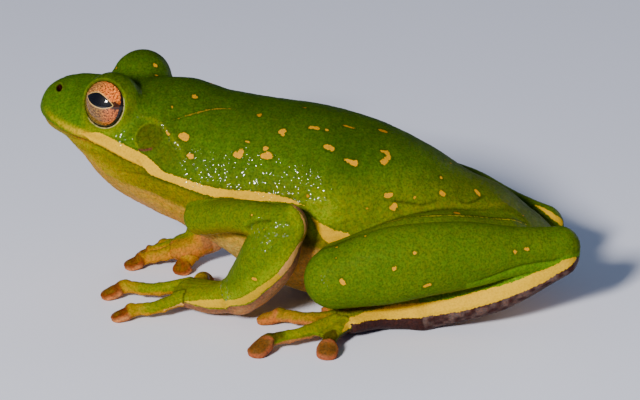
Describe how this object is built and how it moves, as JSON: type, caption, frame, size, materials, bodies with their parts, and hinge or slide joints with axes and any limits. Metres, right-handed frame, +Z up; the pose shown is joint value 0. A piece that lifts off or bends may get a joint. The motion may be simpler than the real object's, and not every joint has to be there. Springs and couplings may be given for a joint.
{
  "type": "tree frog",
  "caption": "Adult American green tree frog sitting alert with its hind legs folded, a still life-size model.",
  "frame": {"origin": "on the floor, under the middle of the outline", "axes": "+Z up; the frog faces -Y and its left side is +X"},
  "size_m": [0.037, 0.0534, 0.0219],
  "materials": {
    "skin": "moist, finely granular green skin with a yellow stripe and a pale belly",
    "eye": "glossy copper iris with a black horizontal pupil"
  },
  "bodies": {
    "root": {"eye_left": "eye", "eye_right": "eye", "finger_1_left": "skin", "finger_1_right": "skin", "finger_2_left": "skin", "finger_2_right": "skin", "finger_3_left": "skin", "finger_3_right": "skin", "finger_4_left": "skin", "finger_4_right": "skin", "foot_left": "skin", "foot_right": "skin", "forearm_left": "skin", "forearm_right": "skin", "head": "skin", "lower_jaw": "skin", "palm_left": "skin", "palm_right": "skin", "shank_left": "skin", "shank_right": "skin", "tarsus_left": "skin", "tarsus_right": "skin", "thigh_left": "skin", "thigh_right": "skin", "toe_1_left": "skin", "toe_1_right": "skin", "toe_2_left": "skin", "toe_2_right": "skin", "toe_3_left": "skin", "toe_3_right": "skin", "toe_4_left": "skin", "toe_4_right": "skin", "toe_5_left": "skin", "toe_5_right": "skin", "trunk": "skin", "upper_arm_left": "skin", "upper_arm_right": "skin"}
  },
  "joints": []
}
